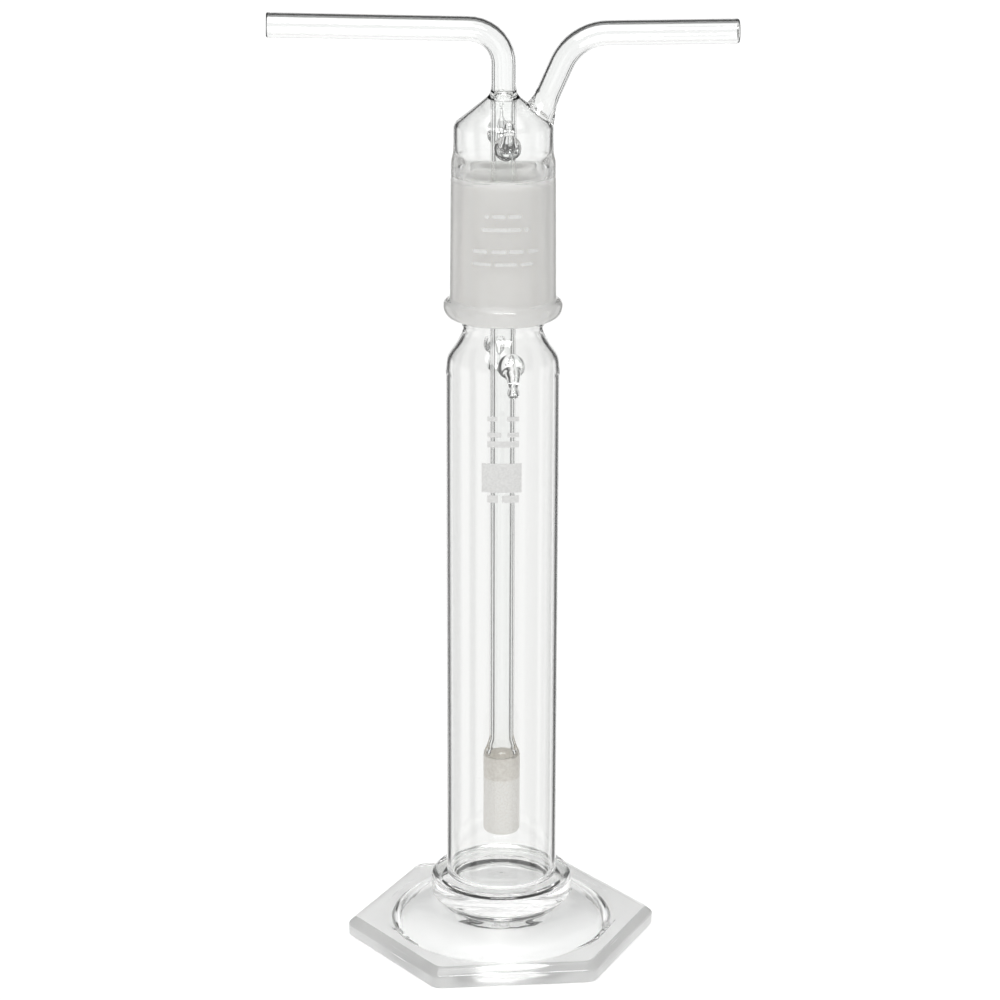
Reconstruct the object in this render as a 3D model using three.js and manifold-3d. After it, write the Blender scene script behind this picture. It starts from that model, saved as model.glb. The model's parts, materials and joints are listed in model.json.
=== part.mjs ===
// A tall gas washing bottle of clear borosilicate glass, in millimetres, +Z up.
// The bottle stands on a hexagonal foot. The head sits on it by a 29/42 ground taper and
// carries an inlet arm (-X), an outlet arm (+X) and a dip tube that ends in a porous cylinder.
// The origin is on the bottle's axis, in the plane of the foot's underside.
import * as THREE from "three";
import { mergeVertices } from "three/addons/utils/BufferGeometryUtils.js";
import Module from "manifold-3d";

const wasm = await Module();
wasm.setup();

// Driving dimensions
const ROUND = 32; // facets round a wide turned piece
const SLIM = 16; // facets round a slim one
const GAP = 0.3; // between neighbouring pieces that are fused on the real object

const TAPER = { large: 29.2, length: 42, slope: 1 / 20, bottom: 212.3, clearance: 0.15 };
const FOOT = {
  corner: 52.4,
  height: 6.6,
  side: 4.4,
  edge: 0.8, // chamfer round the underside
  bevel: 3,
  recess: 36.5,
  domeTop: 13.1,
  turn: 1.7, // degrees, a maker's tolerance
};
const COLLAR = { radius: 23.5, top: 22, upperEdge: 2.2, lowerEdge: 2 };
const BODY = { radius: 18.35, wall: 1.35, floor: 18.6, corner: 4, bottomWall: 2, top: 193.3 };
const SHOULDER = {
  arc: 9.1,
  rise: 1.4, // of the arc's centre above the seam
  waist: 12.9,
  waistHeight: 207.6,
  waistArc: 4,
  top: 211,
  wall: 1.9,
  step: 0.2, // under the edge of the ground cone
};
const INNER = { wall: 2, lip: 257 };
const OUTER = { lower: 17, upper: 16.6, bottom: 211.3, top: 260.4 };
const RIM = { radius: 19.1, widest: 215.8, top: 218.4 };
const DOME = { radius: 15.9, wall: 1.3, foot: 5, shoulder: 273.9, round: 2.5, apex: 282, mouth: 5.3 };
const TUBE = { outer: 4.05, bore: 2.95 };
const ARM = { outer: 3.88, bore: 3.1, reach: 73.6, sides: 12, steps: 26 };
const SEAL = { bottom: 279.4, top: 286, radius: 5, edge: 1.6 };
const INLET = { bend: 11, crest: 302.9, tilt: 1.3 };
const OUTLET = { root: 12.3, rootHeight: 279.2, rise: 66, bend: 16, crest: 301.6, tilt: 0.5 };
const OUTLET_ROOT = { below: 6, foot: 6.2, flare: 1.5, above: 4 }; // along the outlet, from its root
const FRIT = { radius: 6.05, bore: 3.2, bellTop: 71.5, sealTop: 63.2, top: 55.5, bottom: 36.2 };
const HOOK = {
  blob: { across: 4.4, deep: 3.4, high: 4 },
  rod: 1.7,
  tip: 1.84,
  root: 1, // of the rod, past the blob's middle
  elbow: 4.6,
  lean: 0.4,
  bend: 2,
  reach: 7.4,
  sides: { front: 180, back: 0 }, // degrees from +Y
};
const BOTTLE_HOOK = { seat: 17.4, height: 199.4, turn: 4.7 }; // the turn is a maker's tolerance
const HEAD_HOOK = { seat: 16.3, height: 268.2, turn: 0.5 };

// Materials
const CLEAR = glass(0xf4f7f7, 0.04, 0.3);
const GROUND = glass(0xe9eceb, 0.6, 0.6);
const SEALED = glass(0xb9b6ae, 0.35, 0.8);
const POROUS = glass(0xf3f1ec, 0.95, 1);

function glass(color, roughness, opacity) {
  return new THREE.MeshStandardMaterial({
    color,
    roughness,
    metalness: 0,
    transparent: opacity < 1,
    opacity,
  });
}

// Helpers
const rad = THREE.MathUtils.degToRad;

// Points [radius, height] on an arc, from one angle to another, in degrees from +radius to +height.
function arc(radius, height, size, from, to, pieces) {
  return Array.from({ length: pieces + 1 }, (_, i) => {
    const angle = rad(from + ((to - from) * i) / pieces);
    return [radius + size * Math.cos(angle), height + size * Math.sin(angle)];
  });
}

// A body of revolution about Z from an outline of [radius, height] points.
function turned(outline, facets = ROUND, turn = 0) {
  const points = outline.map(([radius, height]) => new THREE.Vector2(radius, height));
  return new THREE.LatheGeometry(points, facets, turn).rotateX(Math.PI / 2);
}

// A turned ring or shell: the outline is closed on itself.
function turnedShell(outline, facets = ROUND) {
  return turned([...outline, outline[0]], facets);
}

// A straight or bent tube: an annular section carried along a path.
function swept(path, outer, bore, sides, steps) {
  const section = new THREE.Shape().absarc(0, 0, outer, 0, 2 * Math.PI);
  if (bore > 0) section.holes.push(new THREE.Path().absarc(0, 0, bore, 0, 2 * Math.PI, true));
  return new THREE.ExtrudeGeometry(section, {
    steps,
    extrudePath: path,
    curveSegments: sides / 2,
    bevelEnabled: false,
  });
}

function solid(geometry) {
  const bare = geometry.clone();
  bare.deleteAttribute("normal");
  bare.deleteAttribute("uv");
  const merged = mergeVertices(bare, 1e-4);
  return new wasm.Manifold(
    new wasm.Mesh({
      numProp: 3,
      vertProperties: merged.attributes.position.array,
      triVerts: new Uint32Array(merged.index.array),
    }),
  );
}

function geometryOf(body) {
  const mesh = body.getMesh();
  const geometry = new THREE.BufferGeometry();
  geometry.setAttribute("position", new THREE.BufferAttribute(mesh.vertProperties, 3));
  geometry.setIndex(new THREE.BufferAttribute(mesh.triVerts, 1));
  return geometry;
}

// A path in the XZ plane: straight, one round bend, straight.
class BentPath extends THREE.CurvePath {
  constructor(start, corner, end, bend) {
    super();
    const before = new THREE.Vector3().subVectors(corner, start).normalize();
    const after = new THREE.Vector3().subVectors(end, corner).normalize();
    const turn = before.angleTo(after);
    const reach = bend * Math.tan(turn / 2);
    const first = corner.clone().addScaledVector(before, -reach);
    const last = corner.clone().addScaledVector(after, reach);
    this.add(new THREE.LineCurve3(start, first));
    this.add(new RoundBend(first, before, after, bend, turn));
    this.add(new THREE.LineCurve3(last, end));
  }
}

class RoundBend extends THREE.Curve {
  constructor(first, before, after, bend, turn) {
    super();
    const inward = after.clone().addScaledVector(before, -before.dot(after)).normalize();
    Object.assign(this, { first, before, inward, bend, turn });
  }

  getPoint(t, target = new THREE.Vector3()) {
    const angle = t * this.turn;
    return target
      .copy(this.first)
      .addScaledVector(this.before, this.bend * Math.sin(angle))
      .addScaledVector(this.inward, this.bend * (1 - Math.cos(angle)));
  }
}

// Bottle

// A hexagonal plate with bevelled edges, a low dome in its middle and a hollow underside.
function hexFoot() {
  const { corner, height, side, edge, bevel, domeTop, recess, turn } = FOOT;
  const plate = turned(
    [
      [0, 0],
      [corner - edge, 0],
      [corner, edge],
      [corner, side],
      [corner - bevel * 0.3, height - bevel * 0.2],
      [corner - bevel, height],
      [0, height],
    ],
    6,
    Math.PI / 6 + rad(turn),
  );
  const dome = turned([
    [0, height / 2],
    [recess, height / 2],
    [recess, height],
    [30, 9.6],
    [24, 12.2],
    [20, domeTop],
    [0, domeTop],
  ]);
  const hollow = turned([
    [0, -1],
    [recess, -1],
    [recess, 0],
    [34.8, 3],
    [30.5, 5.2],
    [22, 7],
    [0, 7.6],
  ]);
  return geometryOf(solid(plate).add(solid(dome)).subtract(solid(hollow)));
}

// A thick disc with rounded edges and a seat for the round bottom of the body tube.
function footCollar() {
  const { radius, top, upperEdge, lowerEdge } = COLLAR;
  const bottom = FOOT.domeTop + GAP;
  const seat = BODY.corner + GAP;
  const middle = BODY.radius - BODY.corner;
  const seatTop = -THREE.MathUtils.radToDeg(Math.asin((BODY.floor + BODY.corner - top) / seat));
  return turned([
    [0, bottom],
    [radius - lowerEdge, bottom],
    ...arc(radius - lowerEdge, bottom + lowerEdge, lowerEdge, -60, 0, 3),
    ...arc(radius - upperEdge, top - upperEdge, upperEdge, 0, 90, 5),
    ...arc(middle, BODY.floor + BODY.corner, seat, seatTop, -90, 5),
    [0, BODY.floor - GAP],
  ]);
}

// A plain tube with a closed bottom.
function bodyTube() {
  const { radius, wall, floor, corner, bottomWall, top } = BODY;
  const inside = radius - wall;
  const bend = corner - wall;
  return turned([
    [0, floor],
    ...arc(radius - corner, floor + corner, corner, -90, 0, 4),
    [radius, top],
    [inside, top],
    ...arc(inside - bend, floor + bottomWall + bend, bend, 0, -90, 3),
    [0, floor + bottomWall],
  ]);
}

// The outside of the shoulder and neck, from the body up, moved outwards by a margin.
function shoulderOutline(margin) {
  const { arc: size, rise, waist, waistHeight, waistArc, top, step } = SHOULDER;
  const start = BODY.top + GAP;
  const large = taperRadius(TAPER.bottom) - step;
  return [
    [BODY.radius + margin, start],
    ...arc(BODY.radius - size, start + rise, size + margin, 0, 52, 5),
    ...arc(waist + waistArc, waistHeight, waistArc - margin, 225, 130, 5),
    [large + margin, top - 0.8],
    [large + margin, top],
  ];
}

// The shoulder rounds in to a waist and opens again towards the ground joint.
function neckShoulder() {
  const { arc: size, rise, waist, waistHeight, top, wall, step } = SHOULDER;
  const start = BODY.top + GAP;
  const large = taperRadius(TAPER.bottom) - step;
  const inside = BODY.radius - BODY.wall;
  return turnedShell([
    ...shoulderOutline(0),
    [large - wall, top],
    [waist - wall, waistHeight + 1.5],
    [waist - wall, waistHeight - 1.5],
    ...arc(inside - size + wall, start + rise, size - wall, 50, 0, 4),
    [inside, start],
  ]);
}

// Outer radius of the inner joint's ground surface at a height.
function taperRadius(height) {
  return TAPER.large / 2 - TAPER.slope * (height - TAPER.bottom);
}

// The space that pieces fused on the shoulder stay out of.
function shoulderKeepOut() {
  const outside = shoulderOutline(GAP);
  const [radius, start] = outside[0];
  return solid(turned([[0, start - 20], [radius, start - 20], ...outside, [0, SHOULDER.top]]));
}

// The ground cone with a fire-polished lip above it.
function innerJoint() {
  const { bottom, length } = TAPER;
  const { wall, lip } = INNER;
  const start = SHOULDER.top + GAP;
  const end = bottom + length;
  return turnedShell([
    [taperRadius(bottom) - 0.1, start],
    [taperRadius(bottom), bottom],
    [taperRadius(end), end],
    [taperRadius(end) - 0.3, lip - 0.8],
    [taperRadius(end) - 1, lip],
    [taperRadius(end) - wall + 0.4, lip - 0.3],
    [taperRadius(end) - wall, end - 1],
    [taperRadius(bottom) - wall, start],
  ]);
}

// Head

// The socket of the ground joint: round outside, tapered inside.
function outerJoint() {
  const { lower, upper, bottom, top } = OUTER;
  const groundTop = TAPER.bottom + TAPER.length + 0.5;
  const bore = (height) => taperRadius(height) + TAPER.clearance;
  return turnedShell([
    [lower, bottom],
    [upper, top],
    [upper - DOME.wall, top],
    [bore(groundTop) + 1.2, INNER.lip + 0.4],
    [bore(groundTop), groundTop],
    [bore(bottom), bottom],
  ]);
}

// The rolled bead round the mouth of the socket, fuller above than below.
function jointRim() {
  const { radius, widest, top } = RIM;
  const inside = OUTER.lower + GAP;
  const bead = Array.from({ length: 9 }, (_, i) => {
    const angle = rad(-90 + 22.5 * i);
    const half = i < 4 ? widest - OUTER.bottom : top - widest;
    return [inside + (radius - inside) * Math.cos(angle), widest + half * Math.sin(angle)];
  });
  return turnedShell(bead);
}

// The cone and side of the head, as an outline, moved outwards by a margin.
function domeOutline(margin) {
  const { radius, foot, shoulder, round, apex, mouth } = DOME;
  return [
    [OUTER.upper + margin, OUTER.top + GAP - margin],
    [radius + 0.3 + margin, OUTER.top + foot / 2],
    [radius + margin, OUTER.top + foot],
    [radius + margin, shoulder - round + margin],
    [radius - round * 0.3 + margin, shoulder + margin],
    [radius - round + margin, shoulder + round * 0.65 + margin],
    [mouth, apex + margin],
  ];
}

// The space that pieces fused on the dome stay out of.
function domeKeepOut() {
  const below = [OUTER.upper + GAP, OUTER.top - 5];
  return solid(turned([[0, below[1]], below, ...domeOutline(GAP), [0, DOME.apex + GAP]]));
}

// The dome is a thin shell, open below, at its apex, and where the outlet leaves it.
function headDome() {
  const { radius, wall, foot, shoulder, round, apex, mouth } = DOME;
  const shell = turnedShell([
    ...domeOutline(0),
    [mouth, apex - wall * 1.3],
    [radius - wall - round * 0.75, shoulder + round * 0.1],
    [radius - wall, shoulder - round * 1.15],
    [radius - wall, OUTER.top + foot],
    [radius + 0.3 - wall, OUTER.top + foot / 2],
    [OUTER.upper - wall, OUTER.top + GAP],
  ]);
  return geometryOf(solid(shell).subtract(outletRod(ARM.bore)));
}

// The point where the outlet meets the cone, and the direction in which it leaves.
function outletStart() {
  return new THREE.Vector3(OUTLET.root, 0, OUTLET.rootHeight);
}

function outletDirection() {
  return new THREE.Vector3(Math.cos(rad(OUTLET.rise)), 0, Math.sin(rad(OUTLET.rise)));
}

// A piece made round +Z, moved onto the axis of the outlet's first stretch.
function placedOnOutlet(geometry) {
  const { x, z } = outletStart();
  return geometry.rotateY(Math.PI / 2 - rad(OUTLET.rise)).translate(x, 0, z);
}

// A straight rod on that axis, for cutting.
function outletRod(radius) {
  const length = 30;
  const middle = new THREE.CylinderGeometry(radius, radius, length, SLIM).rotateX(Math.PI / 2);
  return solid(placedOnOutlet(middle));
}

// The flared stub on the cone that carries the outlet.
function outletRoot() {
  const { below, foot, flare, above } = OUTLET_ROOT;
  const stub = turned(
    [
      [0, -below],
      [foot, -below],
      [foot - 0.6, -flare],
      [ARM.outer + 0.8, flare * 0.8],
      [ARM.outer, above],
      [0, above],
    ],
    SLIM,
  );
  const outside = solid(placedOnOutlet(stub));
  const root = outside.subtract(domeKeepOut()).subtract(outletRod(ARM.bore));
  const bodies = root.decompose().sort((a, b) => b.volume() - a.volume());
  return geometryOf(bodies[0]);
}

// From the flared root up, over one wide bend, and level to the hose end.
function outletArm() {
  const direction = outletDirection();
  const start = outletStart().addScaledVector(direction, OUTLET_ROOT.above + GAP);
  const rise = (OUTLET.crest - start.z) / direction.z;
  const corner = start.clone().addScaledVector(direction, rise);
  const run = ARM.reach - corner.x;
  const end = new THREE.Vector3(ARM.reach, 0, corner.z + run * Math.tan(rad(OUTLET.tilt)));
  return swept(
    new BentPath(start, corner, end, OUTLET.bend),
    ARM.outer,
    ARM.bore,
    ARM.sides,
    ARM.steps,
  );
}

// The thick ring where the inlet tube is sealed through the apex of the dome.
function ringSeal() {
  const { bottom, top, radius, edge } = SEAL;
  return turnedShell(
    [
      [TUBE.outer, bottom],
      [radius, bottom + edge],
      [radius, bottom + 2 * edge],
      [ARM.outer + 0.3, top - edge],
      [ARM.outer, top],
      [ARM.bore, top],
      [TUBE.bore, bottom],
    ],
    SLIM,
  );
}

// Up from the ring seal, over a bend, and out to the hose end, rising slightly.
function inletArm() {
  const { bend, crest, tilt } = INLET;
  const start = new THREE.Vector3(0, 0, SEAL.top + GAP);
  const corner = new THREE.Vector3(0, 0, crest);
  const end = new THREE.Vector3(-ARM.reach, 0, crest + ARM.reach * Math.tan(rad(tilt)));
  return swept(new BentPath(start, corner, end, bend), ARM.outer, ARM.bore, ARM.sides, ARM.steps);
}

function dipTube() {
  const top = SEAL.bottom - GAP;
  const bottom = FRIT.bellTop + GAP;
  return turnedShell(
    [
      [TUBE.outer, bottom],
      [TUBE.outer, top],
      [TUBE.bore, top],
      [TUBE.bore, bottom],
    ],
    SLIM,
  );
}

// The end of the dip tube opens to the diameter of the porous cylinder.
function fritBell() {
  const bottom = FRIT.sealTop + GAP;
  return turnedShell(
    [
      [FRIT.radius, bottom],
      [FRIT.radius - 0.5, bottom + 1.2],
      [TUBE.outer + 0.7, bottom + 3.5],
      [TUBE.outer, FRIT.bellTop],
      [TUBE.bore, FRIT.bellTop],
      [TUBE.bore + 0.4, bottom + 3.2],
      [FRIT.bore + 0.9, bottom],
    ],
    SLIM,
  );
}

// The band where clear and porous glass are melted together.
function fritSeal() {
  return turnedShell(
    [
      [FRIT.radius, FRIT.top + GAP],
      [FRIT.radius, FRIT.sealTop],
      [FRIT.bore + 0.6, FRIT.sealTop],
      [FRIT.bore, FRIT.top + GAP],
    ],
    SLIM,
  );
}

// The porous cylinder is hollow and closed at the bottom.
function fritCylinder() {
  const { radius, bore, top, bottom } = FRIT;
  const edge = 1.2;
  return turned(
    [
      [0, bottom],
      ...arc(radius - edge, bottom + edge, edge, -90, 0, 3),
      [radius, top],
      [bore, top],
      [bore, bottom + 3],
      [0, bottom + 3],
    ],
    SLIM,
  );
}

// A glass horn: a round blob fused on the wall and a short rod bent away from it.
// The rod points up for up = 1 and down for up = -1. The wall it sits on is cut away.
function hook({ seat, height }, up, azimuth, keepOut) {
  const { blob, rod, tip, root, elbow, lean, bend, reach } = HOOK;
  const pad = new THREE.SphereGeometry(1, 14, 8).scale(blob.across, blob.deep, blob.high);
  pad.translate(0, seat, height);
  const start = new THREE.Vector3(0, seat, height + root * up);
  const corner = new THREE.Vector3(0, seat + elbow, height + 2 * root * up);
  const end = new THREE.Vector3(0, seat + elbow + lean, height + reach * up);
  const horn = swept(new BentPath(start, corner, end, bend), rod, 0, 8, 6);
  const knob = new THREE.SphereGeometry(tip, 8, 6).translate(0, end.y, end.z);
  const body = solid(pad).add(solid(horn)).add(solid(knob));
  return geometryOf(body.rotate([0, 0, azimuth]).subtract(keepOut));
}

function piece(name, geometry, material) {
  const mesh = new THREE.Mesh(geometry, material);
  mesh.name = name;
  return mesh;
}

function bottle() {
  const group = new THREE.Group();
  group.add(piece("hex_foot", hexFoot(), CLEAR));
  group.add(piece("foot_collar", footCollar(), CLEAR));
  group.add(piece("body_tube", bodyTube(), CLEAR));
  group.add(piece("neck_shoulder", neckShoulder(), CLEAR));
  group.add(piece("inner_joint", innerJoint(), GROUND));
  for (const [side, azimuth] of Object.entries(HOOK.sides)) {
    const horn = hook(BOTTLE_HOOK, -1, azimuth + BOTTLE_HOOK.turn, shoulderKeepOut());
    group.add(piece(`bottle_hook_${side}`, horn, CLEAR));
  }
  return group;
}

function head() {
  const group = new THREE.Group();
  group.add(piece("outer_joint", outerJoint(), GROUND));
  group.add(piece("joint_rim", jointRim(), CLEAR));
  group.add(piece("head_dome", headDome(), CLEAR));
  group.add(piece("ring_seal", ringSeal(), CLEAR));
  group.add(piece("inlet_arm", inletArm(), CLEAR));
  group.add(piece("outlet_root", outletRoot(), CLEAR));
  group.add(piece("outlet_arm", outletArm(), CLEAR));
  group.add(piece("dip_tube", dipTube(), CLEAR));
  group.add(piece("frit_bell", fritBell(), CLEAR));
  group.add(piece("frit_seal", fritSeal(), SEALED));
  group.add(piece("frit_cylinder", fritCylinder(), POROUS));
  for (const [side, azimuth] of Object.entries(HOOK.sides)) {
    const horn = hook(HEAD_HOOK, 1, azimuth + HEAD_HOOK.turn, domeKeepOut());
    group.add(piece(`head_hook_${side}`, horn, CLEAR));
  }
  return group;
}

const part = new THREE.Group();
part.add(bottle(), head());

export default part;
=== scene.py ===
"""The looks of a gas washing bottle: clear, ground and porous borosilicate glass in a white studio.

Every piece of glass stands for one CAD node and is made again, finer, inside that node's box.
Lengths in the outlines are millimetres along (radius, height); meshes are in metres.
"""

import json
import math

import bmesh
import bpy
import numpy as np
from mathutils import Matrix, Vector


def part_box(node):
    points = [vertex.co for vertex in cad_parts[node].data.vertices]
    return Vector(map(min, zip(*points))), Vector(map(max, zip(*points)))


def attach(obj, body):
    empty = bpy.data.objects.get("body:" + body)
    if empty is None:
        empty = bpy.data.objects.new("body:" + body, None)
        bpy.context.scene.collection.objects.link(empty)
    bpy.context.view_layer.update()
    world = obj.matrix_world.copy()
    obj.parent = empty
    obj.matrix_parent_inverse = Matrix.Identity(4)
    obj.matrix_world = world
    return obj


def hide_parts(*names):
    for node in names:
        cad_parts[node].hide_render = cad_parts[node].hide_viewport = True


MM = 0.001
SIDES = 128  # facets round a wide piece
SLIM_SIDES = 64  # facets round a tube
FOOT_SIDES = 240  # facets round the hexagon
FINE = 2.0  # longest stretch of an outline that is left unsplit, in mm
GLASS_IOR = 1.474
SHARP = math.radians(32)  # edges steeper than this stay sharp
SAME_POINT = 1e-5  # points of an outline nearer than this, in mm, are one

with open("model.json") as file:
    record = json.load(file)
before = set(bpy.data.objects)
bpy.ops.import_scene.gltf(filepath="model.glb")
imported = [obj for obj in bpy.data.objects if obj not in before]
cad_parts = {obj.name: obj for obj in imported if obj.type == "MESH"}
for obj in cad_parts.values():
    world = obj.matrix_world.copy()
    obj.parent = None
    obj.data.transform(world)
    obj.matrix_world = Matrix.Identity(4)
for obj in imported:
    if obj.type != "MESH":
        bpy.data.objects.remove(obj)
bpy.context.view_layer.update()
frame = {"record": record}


# ---------------------------------------------------------------- sizes from the frame


def edge(part, axis, highest=True):
    """One side of a CAD node's box, in mm."""
    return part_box(part)[1 if highest else 0][axis] / MM


def radius_of(part):
    return edge(part, 0)


def bottom_of(part):
    return edge(part, 2, False)


def top_of(part):
    return edge(part, 2)


def between(lower, upper):
    """The height at which two fused pieces meet."""
    return (top_of(lower) + bottom_of(upper)) / 2


def hose_end(mount):
    """Centre of a hose end, in mm, and the slope of its tube."""
    found = next(m for m in frame["record"]["mounts"] if m["name"] == mount)
    x, _, z = found["pos_m"]
    return Vector((x / MM, 0, z / MM)), found["axis"][2] / abs(found["axis"][0])


BODY_R = radius_of("body_tube")
BODY_WALL = 1.35
BODY_FLOOR = bottom_of("body_tube")
BODY_CORNER = 4.0
BODY_TOP = between("body_tube", "neck_shoulder")
COLLAR_R = radius_of("foot_collar")
COLLAR_TOP = top_of("foot_collar")
FOOT_TOP = between("hex_foot", "foot_collar")
FOOT_TURN = math.radians(1.7)
FOOT_CORNER = radius_of("hex_foot") / math.cos(FOOT_TURN)
FOOT_SEAM_R = 20  # radius of the seam between the foot and the collar
NECK_TOP = between("neck_shoulder", "inner_joint")
LIP = top_of("inner_joint")
JOINT_BOTTOM = bottom_of("outer_joint")
JOINT_TOP = between("outer_joint", "head_dome")
JOINT_LOWER_R = radius_of("outer_joint")
JOINT_UPPER_R = JOINT_LOWER_R - 0.4
JOINT_WALL = 2.6
BEAD_R = 15.1
RIM_R = radius_of("joint_rim")
RIM_TOP = top_of("joint_rim")
TAPER_R = 14.6  # at the bottom of the ground cone
TAPER_WALL = 2.0
TAPER_BOTTOM = 212.3
TAPER_TOP = 254.3
TAPER_SLOPE = 1 / 20
DOME_R = 15.9
DOME_WALL = 1.3
DOME_APEX = top_of("head_dome")
DOME_SHOULDER = DOME_APEX - 8.1
MOUTH_R = 5.15
DOME_MOUTH = 0.9  # thickness of the cone where the ring seal meets it
TUBE_R = radius_of("dip_tube")
TUBE_BORE = 2.95
ARM_R = 3.88
ARM_BORE = 3.1
OUTLET_MOUTH = ARM_BORE + 0.6  # the bore where it leaves the dome
SEAL_BOTTOM = between("dip_tube", "ring_seal")
SEAL_TOP = between("ring_seal", "inlet_arm")
SEAM_DEPTH = 0.03
FRIT_R = radius_of("frit_cylinder")
FRIT_BORE = 3.2
BELL_BORE = 4.1
BELL_TOP = between("frit_bell", "dip_tube")
BELL_BOTTOM = between("frit_seal", "frit_bell")
FRIT_TOP = between("frit_cylinder", "frit_seal")
FRIT_BOTTOM = bottom_of("frit_cylinder")


# ---------------------------------------------------------------- materials


def material(name, colour, roughness, **sockets):
    """A surface of one colour. Other sockets of the shader are named with _ for a space."""
    made = bpy.data.materials.new(name)
    made.use_nodes = True
    shader = made.node_tree.nodes["Principled BSDF"]
    shader.inputs["Base Color"].default_value = (*colour, 1)
    shader.inputs["Roughness"].default_value = roughness
    shader.inputs["IOR"].default_value = GLASS_IOR
    for socket, value in sockets.items():
        shader.inputs[socket.replace("_", " ")].default_value = value
    return made


def node(tree, kind, **inputs):
    """A new node with some of its inputs set."""
    made = tree.nodes.new(kind)
    for socket, value in inputs.items():
        made.inputs[socket.replace("_", " ")].default_value = value
    return made


def add_bump(made, scale, depth, detail=2.0, stretch=(1, 1, 1)):
    """Unevenness of the surface: waves or grains of a size, in metres deep."""
    tree = made.node_tree
    place = node(tree, "ShaderNodeTexCoord")
    mapping = node(tree, "ShaderNodeMapping", Scale=stretch)
    noise = node(tree, "ShaderNodeTexNoise", Scale=scale, Detail=detail)
    bump = node(tree, "ShaderNodeBump", Strength=1.0, Distance=depth)
    tree.links.new(place.outputs["Object"], mapping.inputs["Vector"])
    tree.links.new(mapping.outputs["Vector"], noise.inputs["Vector"])
    tree.links.new(noise.outputs["Fac"], bump.inputs["Height"])
    tree.links.new(bump.outputs["Normal"], tree.nodes["Principled BSDF"].inputs["Normal"])
    return noise


def add_mottle(made, noise, low, high):
    """Colour that varies with the same grain as the bump."""
    tree = made.node_tree
    ramp = node(tree, "ShaderNodeValToRGB")
    ramp.color_ramp.elements[0].position = 0.35
    ramp.color_ramp.elements[0].color = (*low, 1)
    ramp.color_ramp.elements[1].position = 0.65
    ramp.color_ramp.elements[1].color = (*high, 1)
    tree.links.new(noise.outputs["Fac"], ramp.inputs["Fac"])
    tree.links.new(ramp.outputs["Color"], tree.nodes["Principled BSDF"].inputs["Base Color"])


def clear_glass():
    """Drawn tube: smooth, with faint draw lines along the axis."""
    made = material("clear_glass", (0.985, 0.99, 0.987), 0.0, Transmission_Weight=1.0)
    add_bump(made, 260, 0.000004, 1.0, (1, 1, 0.04))
    return made


def wall_glass():
    """The body and its shoulder: drawn glass, a little greyer than the slim tubes, with a faint painted
    glow (emission) that no lamp gives.
    """
    made = material(
        "wall_glass", (0.947, 0.949, 0.944), 0.0,
        Transmission_Weight=1.0, Emission_Color=(1, 1, 1, 1), Emission_Strength=0.008,
    )
    add_bump(made, 260, 0.000004, 1.0, (1, 1, 0.04))
    return made


def worked_glass():
    """Glass shaped in the flame or pressed: slow waves in every direction."""
    made = material("worked_glass", (0.985, 0.99, 0.985), 0.0, Transmission_Weight=1.0)
    add_bump(made, 180, 0.00002, 1.0)
    return made


def ground_glass(name, brightness, painted_glow):
    """The ground cone and socket: a fine matt grain. The emission is a painted glow that lightens the
    matt glass.
    """
    colour = (brightness, brightness * 0.995, brightness * 0.98)
    made = material(
        name, colour, 0.55,
        Transmission_Weight=0.3, Emission_Color=(1, 0.99, 0.97, 1), Emission_Strength=painted_glow,
    )
    add_bump(made, 2600, 0.00001, 3.0)
    return made


def satin_glass():
    """The clear walls of the socket: a faint haze that softens their edges."""
    made = material("satin_glass", (0.96, 0.958, 0.948), 0.24, Transmission_Weight=1.0)
    add_bump(made, 900, 0.000006, 2.0)
    return made


def rubbed_glass():
    """Half polished glass: the bearing ring under the foot, lightened by a painted glow."""
    made = material(
        "rubbed_glass", (0.985, 0.985, 0.98), 0.32,
        Transmission_Weight=0.6, Emission_Color=(1, 1, 1, 1), Emission_Strength=0.05,
    )
    add_bump(made, 900, 0.00001, 2.0)
    return made


def hazy_glass():
    """The bore and lip of the cone and the mouth of the socket, hazy, with a painted glow for the milky
    light of the grind behind them.
    """
    made = material(
        "hazy_glass", (0.985, 0.985, 0.975), 0.3,
        Transmission_Weight=0.6, Emission_Color=(1, 1, 0.99, 1), Emission_Strength=0.11,
    )
    add_bump(made, 900, 0.000006, 2.0)
    return made


def sealed_glass():
    """Porous glass half melted into clear glass: warm grey and waxy, with a warm painted glow."""
    made = material(
        "sealed_frit", (0.9, 0.88, 0.84), 0.3,
        Transmission_Weight=0.2, Emission_Color=(1, 0.96, 0.9, 1), Emission_Strength=0.1,
    )
    grain = add_bump(made, 1100, 0.00004, 4.0)
    add_mottle(made, grain, (0.77, 0.74, 0.69), (0.91, 0.89, 0.84))
    return made


def porous_glass():
    """Sintered glass: white, matt, made of small grains, with a painted glow that lightens it."""
    made = material(
        "porous_glass", (0.95, 0.94, 0.91), 0.85,
        Emission_Color=(1, 0.975, 0.94, 1), Emission_Strength=0.15,
    )
    grain = add_bump(made, 1800, 0.0001, 6.0)
    add_mottle(made, grain, (0.84, 0.82, 0.78), (0.96, 0.95, 0.92))
    return made


def enamel():
    """White ceramic print, a little uneven."""
    made = material("enamel", (0.67, 0.67, 0.66), 0.45)
    grain = add_bump(made, 1500, 0.00002, 3.0)
    add_mottle(made, grain, (0.63, 0.63, 0.62), (0.71, 0.71, 0.7))
    return made


def fused_seam():
    """The plane where two pieces are melted together, which can't be seen."""
    return material("fused_seam", (1, 1, 1), 0.0, Alpha=0.0)


CLEAR = clear_glass()
WORKED = worked_glass()
WALL = wall_glass()
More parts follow.
